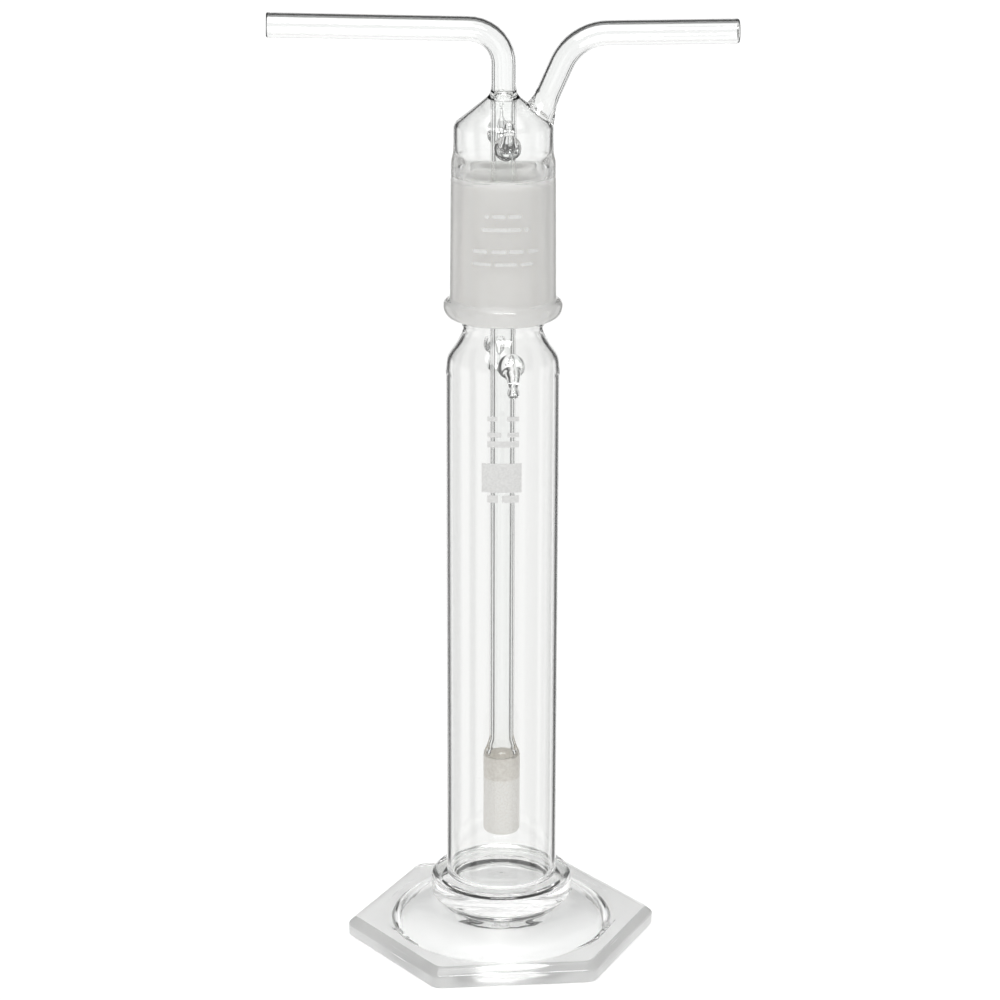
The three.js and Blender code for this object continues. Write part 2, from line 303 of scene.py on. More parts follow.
# The socket is lightened with a painted glow; the cone gets none.
GROUND = ground_glass("ground_socket", brightness=0.965, painted_glow=0.09)
GROUND_CONE = ground_glass("ground_cone", brightness=0.9, painted_glow=0.0)
SATIN = satin_glass()
RUBBED = rubbed_glass()
HAZY = hazy_glass()
SEALED = sealed_glass()
POROUS = porous_glass()
ENAMEL = enamel()
SEAM = fused_seam()


# ---------------------------------------------------------------- outlines


def arc(radius, height, size, start, end, steps=10):
    """Points on an arc, from one angle to another, in degrees from +radius to +height."""
    angles = np.radians(np.linspace(start, end, steps + 1))
    return [(radius + size * math.cos(a), height + size * math.sin(a)) for a in angles]


def rounded(*corners, steps=6):
    """An outline through corners (radius, height, fillet), each corner turned into an arc."""
    points = [Vector(c[:2]) for c in corners]
    made = [tuple(points[0])]
    for i in range(1, len(points) - 1):
        fillet = corners[i][2] if len(corners[i]) > 2 else 0
        back = (points[i - 1] - points[i]).normalized()
        ahead = (points[i + 1] - points[i]).normalized()
        if fillet == 0:
            made.append(tuple(points[i]))
            continue
        half = back.angle(ahead) / 2
        first = points[i] + back * fillet / math.tan(half)
        last = points[i] + ahead * fillet / math.tan(half)
        centre = points[i] + (back + ahead).normalized() * fillet / math.sin(half)
        sweep = (first - centre).angle(last - centre)
        for t in np.linspace(0, sweep, steps + 1):
            spoke = (first - centre) * math.sin(sweep - t) + (last - centre) * math.sin(t)
            made.append(tuple(centre + spoke / math.sin(sweep)))
    return made + [tuple(points[-1])]


def flowing(*knots, steps=6):
    """A smooth curve (a Catmull-Rom spline) through a few points of an outline."""
    p = [Vector(k) for k in knots]
    p = [2 * p[0] - p[1], *p, 2 * p[-1] - p[-2]]
    made = []
    for a, b, c, d in zip(p, p[1:], p[2:], p[3:]):
        for t in np.arange(steps) / steps:
            level = 2 * b + (c - a) * t + (2 * a - 5 * b + 4 * c - d) * t**2
            made.append(tuple(0.5 * level + 0.5 * (3 * b - a - 3 * c + d) * t**3))
    return made + [tuple(knots[-1])]


def moved(outline, by):
    """The same outline, every point moved along the radius."""
    return [(radius + by, height) for radius, height in outline]


# ---------------------------------------------------------------- paths and meshes


class Straight:
    """The axis of a turned piece."""

    def __init__(self, start=(0, 0, 0), along=(0, 0, 1)):
        self.start, self.along = Vector(start), Vector(along)

    def at(self, distance):
        return self.start + self.along * distance, self.along


class Bent:
    """A line in the XZ plane: straight, one round bend, straight. Distances start at its start."""

    def __init__(self, start, corner, end, bend):
        self.start, self.bend = start, bend
        self.before = (corner - start).normalized()
        self.after = (end - corner).normalized()
        self.turn = self.before.angle(self.after)
        reach = bend * math.tan(self.turn / 2)
        self.first = (corner - start).length - reach
        self.second = self.first + bend * self.turn
        self.length = self.second + (end - corner).length - reach
        self.inward = (self.after - self.before * self.before.dot(self.after)).normalized()

    def at(self, distance):
        if distance <= self.first:
            return self.start + self.before * distance, self.before
        angle = min((distance - self.first) / self.bend, self.turn)
        point = self.start + self.before * (self.first + self.bend * math.sin(angle))
        point = point + self.inward * self.bend * (1 - math.cos(angle))
        direction = self.before * math.cos(angle) + self.inward * math.sin(angle)
        return point + direction * max(distance - self.second, 0), direction


def split(outline):
    """The outline with its long stretches cut into short ones."""
    made = [outline[0]]
    for a, b in zip(outline, outline[1:]):
        steps = max(1, math.ceil(math.dist(a, b) / FINE))
        first, whole = np.array(a), np.array(b) - np.array(a)
        made += [tuple(first + whole * i / steps) for i in range(1, steps + 1)]
    return made


def joined(runs):
    """One list of points for all runs, and the material of each stretch between two points."""
    points, zones = [runs[0][1][0]], []
    for finish, outline in runs:
        for point in split([points[-1], *outline]):
            if math.dist(point, points[-1]) > SAME_POINT:
                points.append(point)
                zones.append(finish)
    return points, zones


def skin(name, runs, sides=SIDES, path=None, shape=None):
    """A closed mesh carried round a path: runs are (material, outline) one after another.

    An outline's second number is the distance along the path. shape changes a radius by angle.
    """
    path = path or Straight()
    points, zones = joined(runs)
    if math.dist(points[0], points[-1]) < SAME_POINT:
        points = points[:-1]
    angles = np.arange(sides) * 2 * math.pi / sides
    work = bmesh.new()
    rows = []
    for radius, distance in points:
        centre, along = path.at(distance)
        side = Vector((0, 1, 0))
        other = side.cross(along)
        if radius < SAME_POINT:
            rows.append([work.verts.new(centre * MM)])
            continue
        row = []
        for angle in angles:
            size = shape(radius, distance, angle) if shape else radius
            spoke = other * math.cos(angle) + side * math.sin(angle)
            row.append(work.verts.new((centre + spoke * size) * MM))
        rows.append(row)
    finishes = list(dict.fromkeys(zones))
    for i, finish in enumerate(zones):
        lower, upper = rows[i], rows[(i + 1) % len(rows)]
        for j in range(sides):
            k = (j + 1) % sides
            if len(lower) == 1:
                corners = (lower[0], upper[k], upper[j])
            elif len(upper) == 1:
                corners = (lower[j], lower[k], upper[0])
            else:
                corners = (lower[j], lower[k], upper[k], upper[j])
            work.faces.new(corners).material_index = finishes.index(finish)
    bmesh.ops.recalc_face_normals(work, faces=work.faces)
    return placed(name, work, *finishes)


def smoothed(mesh):
    mesh.shade_smooth()
    mesh.set_sharp_from_angle(angle=SHARP)
    return mesh


def placed(name, work, *finishes):
    """An object in the scene made of a finished bmesh and its materials."""
    mesh = bpy.data.meshes.new(name)
    work.to_mesh(mesh)
    work.free()
    for finish in finishes:
        mesh.materials.append(finish)
    made = bpy.data.objects.new(name, smoothed(mesh))
    bpy.context.scene.collection.objects.link(made)
    return made


def applied(made):
    """The object's mesh with its modifiers applied."""
    graph = bpy.context.evaluated_depsgraph_get()
    mesh = bpy.data.meshes.new_from_object(made.evaluated_get(graph))
    made.modifiers.clear()
    made.data = smoothed(mesh)
    return made


def cut(made, tool):
    """The piece with the tool's space taken out of it. The tool is thrown away."""
    boolean = made.modifiers.new("cut", "BOOLEAN")
    boolean.operation = "DIFFERENCE"
    boolean.solver = "EXACT"
    boolean.material_mode = "TRANSFER"
    boolean.object = tool
    applied(made)
    bpy.data.objects.remove(tool)
    return made


def fused(made, wall, inside_wall):
    """The piece melted on the wall: both end in the same seam, a hair inside the wall's skin.

    inside_wall makes a tool that fills the wall up to the seam.
    """
    foot = made.copy()
    foot.data = made.data.copy()
    foot.data.materials.clear()
    foot.data.materials.append(SEAM)
    bpy.context.scene.collection.objects.link(foot)
    cut(foot, inside_wall())
    cut(wall, foot)
    return cut(made, inside_wall())


def stands_for(made, node_name, body):
    """The piece takes the place of a CAD node and moves with its body."""
    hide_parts(node_name)
    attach(made, body)
    return made


# ---------------------------------------------------------------- the bottle


def hexagon(angle):
    """Polar radius of a hexagon with soft corners, 1 at the corners of the sharp one."""
    softness = 60
    flats = np.arange(6) * math.pi / 3 + math.pi / 6
    reach = np.maximum(np.cos(angle - FOOT_TURN - flats), 0) ** softness
    return math.cos(math.pi / 6) / reach.sum() ** (1 / softness)


def hex_foot():
    """A pressed plate: hexagonal outside, round in the middle, hollow below."""
    recess = 36.5  # radius of the hollow below
    side = 4.2  # height of the upright sides
    plate = 6.6  # height at the edge
    crest = (recess + 1, plate + 0.35)  # where the plate turns round
    blend = 8  # width in which round turns into hexagonal

    def shape(radius, _, angle):
        share = min(max((radius - crest[0]) / blend, 0), 1)
        share = share * share * (3 - 2 * share)
        return radius * (1 + share * (hexagon(angle) - 1))

    hollow = flowing((0, 8.2), (14, 8.1), (21, 7.6), (27, 6.1), (32, 4.1), (35.2, 2), (36.2, 0.5))
    corner = FOOT_CORNER
    rim = rounded(
        (recess, 0),
        (corner, 0, 0.7),
        (corner, side, 1.6),
        (corner - 2.6, plate - 0.1, 2.4),
        crest,
    )
    dome = flowing(crest, (34.5, 7.6), (30, 9.6), (25, 11.8), (21.2, 12.9))
    runs = [
        (WORKED, hollow),
        (RUBBED, [(recess, 0), (corner - 0.9, 0)]),
        (WORKED, rim[1:]),
        (WORKED, dome),
        (WORKED, [(FOOT_SEAM_R, FOOT_TOP)]),
        (SEAM, [(0, FOOT_TOP)]),
    ]
    return skin("hex_foot_glass", runs, FOOT_SIDES, shape=shape)


def seat():
    """The round bottom of the body, where the collar is fused to it, from the axis outwards."""
    middle = BODY_R - BODY_CORNER
    end = -math.degrees(math.asin((BODY_FLOOR + BODY_CORNER - COLLAR_TOP) / BODY_CORNER))
    return [(0, BODY_FLOOR), *arc(middle, BODY_FLOOR + BODY_CORNER, BODY_CORNER, -90, end, 8)]


def foot_collar():
    """A thick disc of solid glass with round edges."""
    lower, upper = 2.0, 2.2  # radii of the edges
    side = [
        *arc(COLLAR_R - lower, FOOT_TOP + lower, lower, -80, 0),
        *arc(COLLAR_R - upper, COLLAR_TOP - upper, upper, 0, 80),
    ]
    bearing = seat()
    runs = [
        (SEAM, [(0, FOOT_TOP), (FOOT_SEAM_R, FOOT_TOP)]),
        (WORKED, side),
        (WORKED, [bearing[-1]]),
        (SEAM, bearing[::-1]),
    ]
    return skin("foot_collar_glass", runs)


def drawn(radius, height, angle):
    """The bore of a drawn tube is never quite round: slow waves, fading out towards both ends."""
    start, fading, wobble = BODY_FLOOR + 6, 25, 0.012
    if radius > BODY_R - 0.1 or height < start:
        return radius
    fade = min(1, (BODY_TOP - height) / fading, (height - start) / fading)
    wave = math.sin(3 * angle + 0.8) + 0.6 * math.sin(5 * angle + 2.1 + height / 90)
    return radius + wobble * fade * (wave + 0.35 * math.sin(11 * angle + height / 60))


def body_tube():
    inside = BODY_R - BODY_WALL
    floor = BODY_FLOOR + 2.3
    bore = rounded((inside, BODY_TOP), (inside, floor, 3.2), (8, floor - 0.1), (0, floor + 0.3))
    runs = [
        (SEAM, seat()),
        (WALL, arc(BODY_R - BODY_CORNER, BODY_FLOOR + BODY_CORNER, BODY_CORNER, -8, 0, 3)),
        (WALL, [(BODY_R, BODY_TOP)]),
        (SEAM, [(inside, BODY_TOP)]),
        (WALL, bore),
    ]
    return skin("body_tube_glass", runs, shape=drawn)


def shoulder_outline():
    return flowing(
        (BODY_R, BODY_TOP),
        (BODY_R - 0.05, 196),
        (BODY_R - 0.75, 199.7),
        (BODY_R - 3.3, 203.5),
        (13.2, 206.7),
        (12.95, 208.8),
        (14.1, 210.6),
        (TAPER_R - 0.05, NECK_TOP),
    )


def neck_shoulder():
    top = TAPER_R - TAPER_WALL
    inside = flowing(
        (top, NECK_TOP),
        (12.1, 210.3),
        (11.6, 208.7),
        (11.85, 206.2),
        (BODY_R - 4.5, 202.6),
        (BODY_R - 2.05, 199.0),
        (BODY_R - BODY_WALL, 195.6),
        (BODY_R - BODY_WALL, BODY_TOP),
    )
    runs = [
        (WALL, shoulder_outline()),
        (SEAM, [(top, NECK_TOP)]),
        (WALL, inside),
        (SEAM, [(BODY_R, BODY_TOP)]),
    ]
    return skin("neck_shoulder_glass", runs)


def taper(height):
    return TAPER_R - TAPER_SLOPE * (height - TAPER_BOTTOM)


def inner_joint():
    """The ground cone ends in a fire-polished lip."""
    bottom, tip = TAPER_R - TAPER_WALL, taper(TAPER_TOP)
    inside = tip - TAPER_WALL
    lip = rounded((tip, TAPER_TOP), (tip - 0.35, LIP, 0.8), (inside, LIP, 0.8), (inside, LIP - 7))
    runs = [
        (SEAM, [(bottom, NECK_TOP), (TAPER_R - 0.05, NECK_TOP)]),
        (GROUND_CONE, [(TAPER_R, TAPER_BOTTOM), (tip, TAPER_TOP)]),
        (HAZY, [*lip, (bottom, NECK_TOP)]),
    ]
    return skin("inner_joint_glass", runs)


# ---------------------------------------------------------------- the head


def oval(radius, height, across, up, degrees):
    """A point on an oval round a centre, from +radius to +height."""
    angle = math.radians(degrees)
    return radius + across * math.cos(angle), height + up * math.sin(angle)


def rim_bearing():
    """The face between the socket and the bead, from the mouth up."""
    return [(JOINT_LOWER_R - 0.4, JOINT_BOTTOM + 3), (JOINT_LOWER_R - 0.03, RIM_TOP)]


def outer_joint():
    """Faintly hazy outside, ground inside. The rim is fused round its lower end."""
    clearance = 0.12
    ground_top = TAPER_TOP + 0.9
    opening, throat = taper(ground_top) + 1.1, TAPER_TOP + 2.7
    inside = flowing(
        (JOINT_UPPER_R - JOINT_WALL, JOINT_TOP), (opening + 0.25, throat + 1.7), (opening, throat)
    )
    mouth = flowing((opening, throat), (opening - 0.6, throat - 0.9), (opening - 1, ground_top))
    runs = [
        (SEAM, [(BEAD_R, JOINT_BOTTOM), *rim_bearing()]),
        (SATIN, [(JOINT_UPPER_R + 0.02, throat - 0.5)]),
        (CLEAR, [(JOINT_UPPER_R, JOINT_TOP)]),
        (SEAM, [(JOINT_UPPER_R - JOINT_WALL, JOINT_TOP)]),
        (SATIN, inside),
        (HAZY, mouth),
        (GROUND, [(taper(JOINT_BOTTOM) + clearance, JOINT_BOTTOM)]),
        (WORKED, [(BEAD_R, JOINT_BOTTOM)]),
    ]
    return skin("outer_joint_glass", runs)


def joint_rim():
    """A rolled bead round the mouth of the socket, flatter above than below."""
    widest = JOINT_BOTTOM + 4.4
    low = [oval(BEAD_R, widest, RIM_R - BEAD_R, widest - JOINT_BOTTOM, a) for a in range(-90, 1, 9)]
    middle = JOINT_LOWER_R + 0.5
    high = [oval(middle, widest, RIM_R - middle, 2.1, a) for a in range(9, 82, 9)]
    fillet = flowing(high[-1], (JOINT_LOWER_R + 0.25, widest + 2.35), rim_bearing()[-1])
    runs = [
        (WORKED, [*low, *high, *fillet[1:]]),
        (SEAM, [*rim_bearing()[::-1], (BEAD_R, JOINT_BOTTOM)]),
    ]
    return skin("joint_rim_glass", runs)


def dome_outline():
    waist = flowing(
        (JOINT_UPPER_R, JOINT_TOP),
        (JOINT_UPPER_R - 0.12, JOINT_TOP + 1.6),
        (DOME_R + 0.15, JOINT_TOP + 3.4),
        (DOME_R, JOINT_TOP + 4.8),
    )
    cone = rounded(
        (DOME_R, JOINT_TOP + 4.8),
        (DOME_R, DOME_SHOULDER - 0.3, 3.0),
        (MOUTH_R, DOME_APEX),
        steps=10,
    )
    return waist + cone[1:]


def filling(outline, bottom):
    """A solid under an outline, a hair inside it, for cutting pieces that are fused on it."""
    inner = moved(outline, -SEAM_DEPTH)
    return skin("tool", [(SEAM, [(0, bottom), (inner[0][0], bottom), *inner, (0, inner[-1][1])])])


def inside_dome():
    """A solid that fills the dome up to the seams of the pieces on it."""
    return filling(dome_outline(), JOINT_TOP - 4)


def head_dome():
    inside = DOME_R - DOME_WALL
    cavity = rounded(
        (MOUTH_R, DOME_APEX - DOME_MOUTH),
        (inside, DOME_SHOULDER - 0.9, 2.2),
        (inside, JOINT_TOP + 6.5),
        steps=10,
    )
    foot = flowing(
        (inside, JOINT_TOP + 6.5),
        (inside - 0.12, JOINT_TOP + 3.4),
        (JOINT_UPPER_R - JOINT_WALL, JOINT_TOP),
    )
    runs = [
        (WORKED, dome_outline()),
        (SEAM, [(MOUTH_R, DOME_APEX - DOME_MOUTH)]),
        (WORKED, cavity),
        (WORKED, foot),
        (SEAM, [(JOINT_UPPER_R, JOINT_TOP)]),
    ]
    shell = skin("head_dome_glass", runs)
    return cut(shell, outlet_tool())


OUTLET_FOOT = Vector((12.3, 0, 279.2))
OUTLET_RISE = math.radians(66)
OUTLET_BEND = 16.0
INLET_BEND = 11.0
ROOT_LENGTH = 7.0


def outlet_axis():
    """The line in which the outlet leaves the cone."""
    return Straight(OUTLET_FOOT, (math.cos(OUTLET_RISE), 0, math.sin(OUTLET_RISE)))


def outlet_path():
    end, slope = hose_end("outlet_end")
    rise = outlet_axis().along
    # The corner is where the rising line meets the line of the hose end.
    reach = (end.z - OUTLET_FOOT.z - slope * (end.x - OUTLET_FOOT.x)) / (rise.z - slope * rise.x)
    return Bent(OUTLET_FOOT, OUTLET_FOOT + rise * reach, end, OUTLET_BEND)


def outlet_tool():
    """The bore of the outlet, for cutting its way through the dome."""
    start, end = -12, 10
    outline = [(0, start), (OUTLET_MOUTH, start), (OUTLET_MOUTH, end), (0, end)]
    return skin("tool", [(WORKED, outline)], SLIM_SIDES, outlet_axis())


def outlet_root():
    """The flared foot of the outlet, blown out of the cone."""
    flare = flowing(
        (6.3, -7), (5.7, -4.2), (4.9, -1.4), (4.1, 1.4), (ARM_R, 4.5), (ARM_R, ROOT_LENGTH)
    )
    bore = flowing(
        (ARM_BORE, ROOT_LENGTH), (ARM_BORE, 4.5), (ARM_BORE + 0.3, 1.5), (OUTLET_MOUTH, -7)
    )
    runs = [(WORKED, flare), (SEAM, [bore[0]]), (WORKED, bore), (WORKED, [flare[0]])]
    return skin("outlet_root_glass", runs, SLIM_SIDES, outlet_axis())


def tube_runs(start, length):
    """An open tube: a fused end at the start, a fire-polished hose end."""
    low, polish = length - 3, 0.55
    lip = rounded(
        (ARM_R, low), (ARM_R, length, polish), (ARM_BORE, length, polish), (ARM_BORE, low)
    )
    return [
        (CLEAR, [(ARM_R, start), *lip, (ARM_BORE, start)]),
        (SEAM, [(ARM_R, start)]),
    ]


def outlet_arm():
    path = outlet_path()
    return skin("outlet_arm_glass", tube_runs(ROOT_LENGTH, path.length), SLIM_SIDES, path)


def inlet_arm():
    end, slope = hose_end("inlet_end")
    start = Vector((0, 0, SEAL_TOP))
    corner = Vector((0, 0, end.z + slope * end.x))
    path = Bent(start, corner, end, INLET_BEND)
    return skin("inlet_arm_glass", tube_runs(0, path.length), SLIM_SIDES, path)


def ring_seal():
    """The inlet tube flares out into the cone, and the dip tube is fused inside the flare."""
    below = flowing(
        (TUBE_R, SEAL_BOTTOM),
        (TUBE_R + 0.1, DOME_APEX - 1.7),
        (TUBE_R + 0.4, DOME_APEX - 1.15),
        (MOUTH_R, DOME_APEX - DOME_MOUTH),
    )
    above = flowing(
        (MOUTH_R, DOME_APEX),
        (4.5, DOME_APEX + 0.9),
        (ARM_R + 0.12, DOME_APEX + 2.3),
        (ARM_R, SEAL_TOP),
    )
    bore = flowing(
        (ARM_BORE, SEAL_TOP),
        (ARM_BORE, DOME_APEX + 1.2),
        (TUBE_BORE + 0.25, DOME_APEX - 0.6),
        (TUBE_BORE, SEAL_BOTTOM),
    )
    runs = [
        (SEAM, [(TUBE_BORE, SEAL_BOTTOM), (TUBE_R, SEAL_BOTTOM)]),
        (WORKED, below),
        (SEAM, [(MOUTH_R, DOME_APEX)]),
        (WORKED, above),
        (SEAM, [(ARM_BORE, SEAL_TOP)]),
        (WORKED, bore),
    ]
    return skin("ring_seal_glass", runs, SLIM_SIDES)


def dip_tube():
    runs = [
        (SEAM, [(TUBE_BORE, BELL_TOP), (TUBE_R, BELL_TOP)]),
        (CLEAR, [(TUBE_R, SEAL_BOTTOM)]),
        (SEAM, [(TUBE_BORE, SEAL_BOTTOM)]),
        (CLEAR, [(TUBE_BORE, BELL_TOP)]),
    ]
    return skin("dip_tube_glass", runs, SLIM_SIDES)


def frit_bell():
    outside = flowing(
        (FRIT_R, BELL_BOTTOM),
        (FRIT_R - 0.25, BELL_BOTTOM + 1.2),
        (TUBE_R + 0.9, BELL_BOTTOM + 3.2),
        (TUBE_R + 0.1, BELL_BOTTOM + 6),
        (TUBE_R, BELL_TOP),
    )
    inside = flowing(
        (TUBE_BORE, BELL_TOP),
        (TUBE_BORE + 0.1, BELL_BOTTOM + 5.4),
        (TUBE_BORE + 0.7, BELL_BOTTOM + 2.8),
        (BELL_BORE, BELL_BOTTOM),
    )
    runs = [
        (WORKED, outside),
        (SEAM, [(TUBE_BORE, BELL_TOP)]),
        (WORKED, inside),
        (SEAM, [(FRIT_R, BELL_BOTTOM)]),
    ]
    return skin("frit_bell_glass", runs, SLIM_SIDES)


def frit_seal():
    foot = (FRIT_R - 0.02, FRIT_TOP)
    middle = (FRIT_R + 0.05, (FRIT_TOP + BELL_BOTTOM) / 2)
    outside = flowing(foot, middle, (FRIT_R, BELL_BOTTOM))
    runs = [(SEALED, [*outside, (BELL_BORE, BELL_BOTTOM), (FRIT_BORE, FRIT_TOP), foot])]
    return skin("frit_seal_glass", runs, SLIM_SIDES)


def frit_cylinder():
    edge_round, inside_round, floor = 1.3, 1.0, FRIT_BOTTOM + 3
    outside = rounded((0, FRIT_BOTTOM), (FRIT_R, FRIT_BOTTOM, edge_round), (FRIT_R, FRIT_TOP))
    inside = rounded((FRIT_BORE, FRIT_TOP), (FRIT_BORE, floor, inside_round), (0, floor))
    return skin("frit_cylinder_sinter", [(POROUS, [*outside, *inside])], SLIM_SIDES)


# ---------------------------------------------------------------- horns

HORN_BEND = 2.0
HORN_BLOB, HORN_SQUASH = 4.4, (0.77, 1, 0.93)  # the blob on the wall
HORN_TIP = 1.9


def horn_path(seat_radius, height, up):
    """Out of the wall and round a bend along it."""
    start = Vector((seat_radius, 0, height + up))
    corner = Vector((seat_radius + 4.6, 0, height + 2 * up))
    end = Vector((seat_radius + 5.0, 0, height + 7.4 * up))
    return Bent(start, corner, end, HORN_BEND)


def melted(name, parts, grain=0.22):
    """Several solids melted into one smooth body."""
    work = bmesh.new()
    for part in parts:
        work.from_mesh(part.data)
        bpy.data.objects.remove(part)
    made = placed(name, work, WORKED)
    remesh = made.modifiers.new("melt", "REMESH")
    remesh.mode = "VOXEL"
    remesh.voxel_size = grain * MM
    remesh.use_smooth_shade = True
    smooth = made.modifiers.new("flow", "SMOOTH")
    smooth.factor = 0.5
    smooth.iterations = 10
    return applied(made)


def ball(centre, size, squash=(1, 1, 1)):
    work = bmesh.new()
    bmesh.ops.create_uvsphere(work, u_segments=40, v_segments=24, radius=size * MM)
    bmesh.ops.scale(work, vec=squash, verts=work.verts)
    bmesh.ops.translate(work, vec=Vector(centre) * MM, verts=work.verts)
    return placed("ball", work)


def horn(name, seat_radius, height, up, azimuth):
    """A blob of glass on the wall, drawn out into a short hook. up is 1 or -1."""
    path = horn_path(seat_radius, height, up)
    length = path.length
    rod = [
        (0, 0), (3.3, 0), (2.9, 2.5), (2.1, length * 0.55), (1.35, length * 0.82), (1.3, length),
        (0, length),
    ]
    parts = [
        ball((seat_radius, 0, height), HORN_BLOB, HORN_SQUASH),
        skin("rod", [(WORKED, rod)], 32, path),
        ball(path.at(length)[0], HORN_TIP),
    ]
    made = melted(name, parts)
    made.data.transform(Matrix.Rotation(math.radians(azimuth), 4, "Z"))
    return made


def inside_shoulder():
    """A solid that fills the shoulder up to the seams of the horns."""
    return filling(shoulder_outline(), BODY_TOP - 20)


def horns(body, wall, inside_wall, seat_radius, height, up, turn):
    """One horn in front of the wall and one behind it."""
    for side, azimuth in (("front", -90), ("back", 90)):
        node_name = f"{body}_hook_{side}"
        made = horn(f"{node_name}_glass", seat_radius, height, up, azimuth + turn)
        stands_for(fused(made, wall, inside_wall), node_name, body)


# ---------------------------------------------------------------- printed marks

JOINT_PRINT, BODY_PRINT = -95.5, -93.9  # headings of the two prints, in degrees


def printed(name, body, wall, heights, centre, blocks):
    """A row of plain enamel blocks on a round wall, between two heights.

    Blocks are (start, end) in mm along the row, from its centre's heading in degrees.
    """
    lift, film, step = 0.03, 0.05, 0.6
    work = bmesh.new()
    for start, end in blocks:
        columns = max(2, round((end - start) / step))
        along = [start + (end - start) * i / columns for i in range(columns + 1)]
        rows = []
        for height in heights:
            for radius in (wall(height) + lift, wall(height) + lift + film):
                turns = [math.radians(centre) + part / radius for part in along]
                spots = [(radius * math.cos(a), radius * math.sin(a), height) for a in turns]
                rows.append([work.verts.new(Vector(spot) * MM) for spot in spots])
        inner_low, outer_low, inner_high, outer_high = rows
        loop = (outer_low, outer_high, inner_high, inner_low)
        for a, b in zip(loop, (*loop[1:], loop[0])):
            for i in range(columns):
                work.faces.new((a[i], a[i + 1], b[i + 1], b[i]))
        for i in (0, columns):
            work.faces.new([row[i] for row in loop])
    bmesh.ops.recalc_face_normals(work, faces=work.faces)
    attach(placed(name, work, ENAMEL), body)


def joint_wall(height):
    """The socket's radius at a height."""
    share = (height - JOINT_BOTTOM) / (JOINT_TOP - JOINT_BOTTOM)
    return JOINT_LOWER_R + (JOINT_UPPER_R - JOINT_LOWER_R) * share


def body_wall(_):
    return BODY_R


def marks():
    joint_rows = {
        "joint_mark_1": ((246.3, 247.5), [(-5.2, -3.9), (-2.8, 1.2), (2.2, 6.4)]),
        "joint_mark_2": ((242.1, 243.3), [(-6.4, 6.2), (7.4, 8.8)]),
        "joint_mark_3": ((235.2, 236.4), [(-9.6, -4.6), (-3.2, 1.4), (2.2, 7.0), (8.6, 12.4)]),
        "joint_mark_4": ((231.3, 232.3), [(-9.6, -3.4), (-2.2, 4.8), (6.2, 10.4)]),
    }
    for name, (heights, blocks) in joint_rows.items():
        printed(name, "head", joint_wall, heights, JOINT_PRINT, blocks)
    body_rows = {
        "body_mark_1": ((181.9, 183.4), [(-4.9, -1.6), (1.4, 5.3)]),
        "body_mark_2": ((176.7, 178.2), [(-4.9, -0.4), (1.6, 5.3)]),
        "body_mark_3": ((173.4, 175.4), [(-4.9, 5.3)]),
        "body_patch": ((158.5, 168.1), [(-6.8, 6.2)]),
        "body_mark_4": ((155.2, 157.6), [(-4.9, -1.4), (-0.2, 5.3)]),
    }
    for name, (heights, blocks) in body_rows.items():
        printed(name, "bottle", body_wall, heights, BODY_PRINT, blocks)


# ---------------------------------------------------------------- studio


def lerp_band(tree, source, low, high):
    """0 below low, 1 above high, smooth between."""
    band = node(tree, "ShaderNodeMapRange", From_Min=low, From_Max=high)
    band.interpolation_type = "SMOOTHSTEP"
    tree.links.new(source, band.inputs["Value"])
    return band.outputs["Result"]


def math_node(tree, operation, first, second=0):
    """The result of an operation on two values, each a number or a node's output."""
    made = node(tree, "ShaderNodeMath")
    made.operation = operation
    for socket, value in zip(made.inputs, (first, second)):
        if isinstance(value, (int, float)):
            socket.default_value = value
        else:
            tree.links.new(value, socket)
    return made.outputs["Value"]


def blend(tree, first, second, share):
    """first where share is 0, second where it is 1."""
    more = math_node(tree, "SUBTRACT", second, first)
    return math_node(tree, "ADD", first, math_node(tree, "MULTIPLY", share, more))


BACKGROUND = 1.08  # what the camera sees behind the glass
PANEL_LIGHT = 0.94
GAP_LIGHT = 0.06  # what is left between the panels
SOFTBOX_LIGHT = 1.6
STRIP_LIGHT = 14.0
BACK_LIGHT = 0.55  # from behind, on matt surfaces
FRONT_LIGHT = 0.42  # what comes from the front in addition
PANEL_EDGE = 5  # width of a panel's soft edge, in degrees
PANELS = (  # heading and half width in degrees, and strength
    (86, 17, 1.0),
    (136, 8, 1.0),
    (180, 13, 1.0),
    (225, 10, 1.0),
    (270, 16, 1.0),
    (315, 12, 1.0),
    (0, 10, 1.0),
    (38, 7, 1.0),
    (270, 58, 0.55),
)


def bright_panels(tree, azimuth):
    """The strength of the brightest panel at an azimuth, and 0 between the panels."""
    brightest = 0.0
    for heading, half, strength in PANELS:
        turned = math_node(tree, "SUBTRACT", azimuth, math.radians(heading))
        near = math_node(tree, "COSINE", turned)
        outer, inner = math.cos(math.radians(half + PANEL_EDGE)), math.cos(math.radians(half))
        panel = math_node(tree, "MULTIPLY", lerp_band(tree, near, outer, inner), strength)
        brightest = math_node(tree, "MAXIMUM", panel, brightest)
    return brightest


def strip_light(tree, azimuth, height):
    """A long narrow lamp above the camera, for crisp highlights on round edges."""
    turned = math_node(tree, "SUBTRACT", azimuth, math.radians(-90))
    wide = lerp_band(tree, math_node(tree, "COSINE", turned), 0.91, 0.93)
    low = lerp_band(tree, height, 0.44, 0.47)
    high = lerp_band(tree, height, 0.72, 0.69)
    bar = math_node(tree, "MULTIPLY", low, high)
    return math_node(tree, "MULTIPLY", math_node(tree, "MULTIPLY", wide, bar), STRIP_LIGHT)


